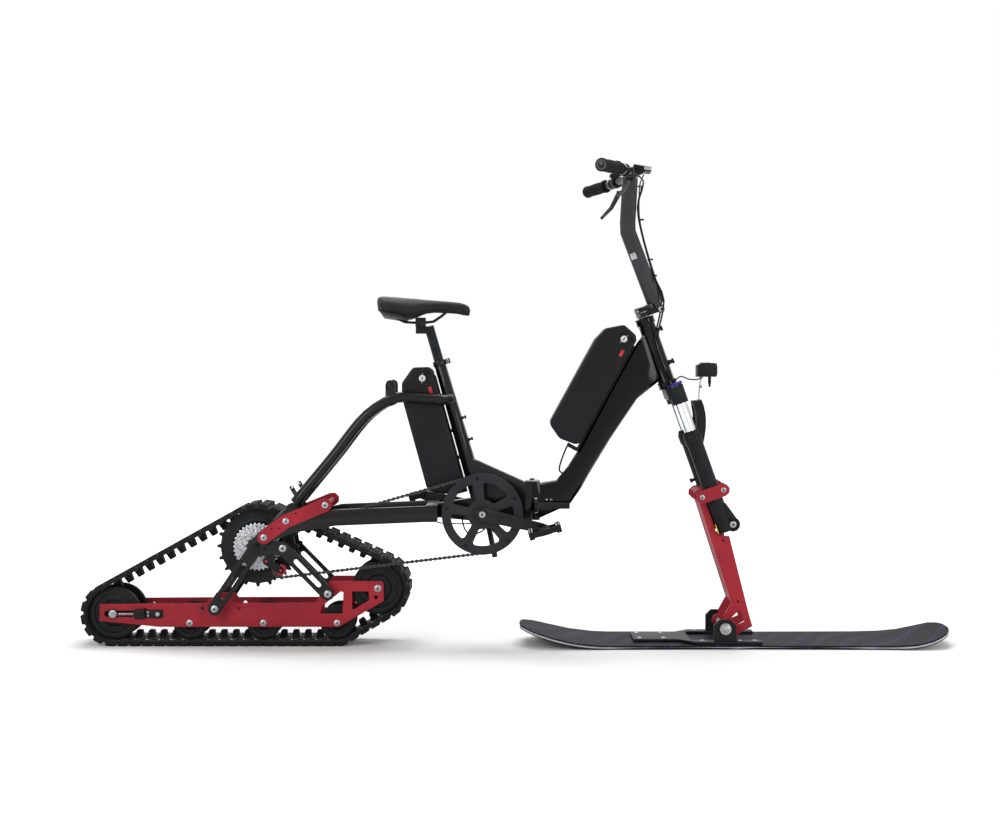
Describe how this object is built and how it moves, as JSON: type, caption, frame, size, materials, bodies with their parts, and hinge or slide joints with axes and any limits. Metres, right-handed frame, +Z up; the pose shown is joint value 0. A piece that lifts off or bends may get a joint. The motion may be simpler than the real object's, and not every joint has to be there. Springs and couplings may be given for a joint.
{
  "type": "folding ski bike",
  "caption": "Folding electric ski bike: steered ski under a sprung front fork, driven rubber track under the rear, pedals, chain drive, folding stem and frame hinge, two batteries.",
  "frame": {"origin": "centre of the bounding box's base, on the ground", "axes": "+X towards the ski's tip, +Y to the rider's left, +Z up"},
  "size_m": [2.352, 0.673, 1.3067],
  "materials": {
    "frame_paint": "satin black",
    "red_anodised": "satin red",
    "track_rubber": "matte",
    "wheel_rubber": "matte",
    "hub_black": "satin black",
    "plastic": "matte",
    "battery_shell": "gloss",
    "steel": "satin",
    "dark_steel": "satin black",
    "bright": "polished",
    "cassette_steel": "polished",
    "saddle_cover": "matte",
    "ski_laminate": "semi-gloss"
  },
  "bodies": {
    "frame": {"rear_frame": "frame_paint", "chainstays": "frame_paint", "seatstay_right": "frame_paint", "seatstay_left": "frame_paint", "seat_clamp": "plastic", "rear_dock": "plastic", "torque_arm_right": "red_anodised", "torque_arm_left": "red_anodised", "axle": "steel", "derailleur": "dark_steel", "chain": "steel"},
    "track": {"side_plate_right": "red_anodised", "side_plate_left": "red_anodised", "strut_right": "frame_paint", "strut_left": "frame_paint", "rear_tensioner": "steel", "track_belt": "track_rubber"},
    "drive_hub": {"drive_hub": "hub_black"},
    "rear_idler": {"rear_idler": "wheel_rubber"},
    "front_idler": {"front_idler": "wheel_rubber"},
    "bogie_1": {"bogie_1": "wheel_rubber"},
    "bogie_2": {"bogie_2": "wheel_rubber"},
    "bogie_3": {"bogie_3": "wheel_rubber"},
    "cassette": {"cassette": "cassette_steel"},
    "pulley_upper": {"pulley_upper": "red_anodised"},
    "pulley_lower": {"pulley_lower": "red_anodised"},
    "crank": {"crank_right": "frame_paint", "crank_left": "frame_paint", "chainring": "plastic"},
    "pedal_right": {"pedal_right": "plastic"},
    "pedal_left": {"pedal_left": "plastic"},
    "seat": {"seatpost": "dark_steel", "saddle": "saddle_cover"},
    "rear_battery": {"rear_battery": "battery_shell"},
    "front_battery": {"front_battery": "battery_shell"},
    "front_frame": {"front_frame": "frame_paint", "front_dock": "plastic", "battery_lead": "wheel_rubber"},
    "frame_latch": {"frame_latch": "frame_paint"},
    "fork_upper": {"fork_crown": "frame_paint", "stanchion_right": "bright", "stanchion_left": "bright", "stem_base": "frame_paint"},
    "stem": {"handlepost": "frame_paint", "handlebar": "frame_paint", "grip_right": "wheel_rubber", "grip_left": "wheel_rubber", "display": "plastic", "brake_cable": "wheel_rubber", "control_cable": "wheel_rubber"},
    "brake_lever_right": {"brake_lever_right": "steel"},
    "brake_lever_left": {"brake_lever_left": "steel"},
    "fork_lower": {"fork_lowers": "plastic", "ski_strut": "red_anodised", "lamp_bracket": "plastic", "lamp_lead": "wheel_rubber"},
    "headlight": {"headlight": "plastic"},
    "ski": {"ski_board": "ski_laminate", "ski_plate": "plastic", "pivot_bolt": "steel"}
  },
  "joints": [
    {"name": "track_pitch", "type": "hinge", "parent": "frame", "child": "track", "pos_m": [-0.7, 0, 0.2685], "axis": [0, 1, 0], "range_deg": [-10, 10]},
    {"name": "hub_spin", "type": "hinge", "parent": "track", "child": "drive_hub", "pos_m": [-0.7, 0, 0.2685], "axis": [0, 1, 0], "continuous": true, "deforming": ["track_belt"]},
    {"name": "rear_idler_spin", "type": "hinge", "parent": "track", "child": "rear_idler", "pos_m": [-1.0895, 0, 0.0865], "axis": [0, 1, 0], "continuous": true},
    {"name": "front_idler_spin", "type": "hinge", "parent": "track", "child": "front_idler", "pos_m": [-0.374, 0, 0.155], "axis": [0, 1, 0], "continuous": true},
    {"name": "bogie_1_spin", "type": "hinge", "parent": "track", "child": "bogie_1", "pos_m": [-0.883, 0, 0.0615], "axis": [0, 1, 0], "continuous": true},
    {"name": "bogie_2_spin", "type": "hinge", "parent": "track", "child": "bogie_2", "pos_m": [-0.6835, 0, 0.0615], "axis": [0, 1, 0], "continuous": true},
    {"name": "bogie_3_spin", "type": "hinge", "parent": "track", "child": "bogie_3", "pos_m": [-0.484, 0, 0.0615], "axis": [0, 1, 0], "continuous": true},
    {"name": "crank_spin", "type": "hinge", "parent": "frame", "child": "crank", "pos_m": [-0.091, 0, 0.358], "axis": [0, 1, 0], "continuous": true, "deforming": ["chain"]},
    {"name": "cassette_spin", "type": "hinge", "parent": "frame", "child": "cassette", "pos_m": [-0.7, 0, 0.2685], "axis": [0, 1, 0], "continuous": true},
    {"name": "pulley_upper_spin", "type": "hinge", "parent": "frame", "child": "pulley_upper", "pos_m": [-0.672, -0.077, 0.232], "axis": [0, 1, 0], "continuous": true},
    {"name": "pulley_lower_spin", "type": "hinge", "parent": "frame", "child": "pulley_lower", "pos_m": [-0.633, -0.077, 0.207], "axis": [0, 1, 0], "continuous": true},
    {"name": "pedal_right_spin", "type": "hinge", "parent": "crank", "child": "pedal_right", "pos_m": [0.0751, -0.16, 0.32178], "axis": [0, 1, 0], "continuous": true},
    {"name": "pedal_left_spin", "type": "hinge", "parent": "crank", "child": "pedal_left", "pos_m": [-0.2571, 0.16, 0.39422], "axis": [0, 1, 0], "continuous": true},
    {"name": "seat_height", "type": "slide", "parent": "frame", "child": "seat", "axis": [-0.279, 0, 0.9603], "range_m": [-0.035, 0.06]},
    {"name": "rear_battery_lift", "type": "slide", "parent": "frame", "child": "rear_battery", "axis": [-0.2651, 0, 0.9642], "range_m": [0, 0.06]},
    {"name": "frame_fold", "type": "hinge", "parent": "frame", "child": "front_frame", "pos_m": [0.0455, 0.041, 0.39], "axis": [0, 0, 1], "range_deg": [0, 90]},
    {"name": "latch_turn", "type": "hinge", "parent": "front_frame", "child": "frame_latch", "pos_m": [0.054, -0.0383, 0.378], "axis": [0, 0, 1], "range_deg": [-100, 0]},
    {"name": "front_battery_lift", "type": "slide", "parent": "front_frame", "child": "front_battery", "axis": [0.4805, 0, 0.877], "range_m": [0, 0.02]},
    {"name": "steering", "type": "hinge", "parent": "front_frame", "child": "fork_upper", "pos_m": [0.4156, 0, 0.7072], "axis": [-0.3338, 0, 0.9426], "range_deg": [-45, 45], "deforming": ["brake_cable", "control_cable"]},
    {"name": "stem_fold", "type": "hinge", "parent": "fork_upper", "child": "stem", "pos_m": [0.39725, 0, 0.91181], "axis": [0, 1, 0], "range_deg": [0, 120]},
    {"name": "brake_right_pull", "type": "hinge", "parent": "stem", "child": "brake_lever_right", "pos_m": [0.296, -0.1804, 1.249], "axis": [-1, 0, 0], "range_deg": [0, 20], "stiffness_Nm_per_rad": 2, "springref_deg": -17.19},
    {"name": "brake_left_pull", "type": "hinge", "parent": "stem", "child": "brake_lever_left", "pos_m": [0.296, 0.1804, 1.249], "axis": [1, 0, 0], "range_deg": [0, 20], "stiffness_Nm_per_rad": 2, "springref_deg": -17.19},
    {"name": "fork_travel", "type": "slide", "parent": "fork_upper", "child": "fork_lower", "axis": [-0.3338, 0, 0.9426], "range_m": [0, 0.06], "stiffness_N_per_m": 6000, "springref_m": -0.04, "deforming": ["lamp_lead"]},
    {"name": "headlight_tilt", "type": "hinge", "parent": "fork_lower", "child": "headlight", "pos_m": [0.508, 0, 0.727], "axis": [0, 1, 0], "range_deg": [-10, 20]},
    {"name": "ski_pitch", "type": "hinge", "parent": "fork_lower", "child": "ski", "pos_m": [0.561, 0, 0.052], "axis": [0, 1, 0], "range_deg": [-15, 10]}
  ],
  "couplings": [
    {"joint": "rear_idler_spin", "follows": "hub_spin", "ratio": 1.3959},
    {"joint": "front_idler_spin", "follows": "hub_spin", "ratio": 1.3959},
    {"joint": "bogie_1_spin", "follows": "hub_spin", "ratio": 2.0904},
    {"joint": "bogie_2_spin", "follows": "hub_spin", "ratio": 2.0904},
    {"joint": "bogie_3_spin", "follows": "hub_spin", "ratio": 2.0904},
    {"joint": "cassette_spin", "follows": "crank_spin", "ratio": 4.6667},
    {"joint": "pulley_upper_spin", "follows": "crank_spin", "ratio": -6.5625},
    {"joint": "pulley_lower_spin", "follows": "crank_spin", "ratio": 5.25}
  ]
}
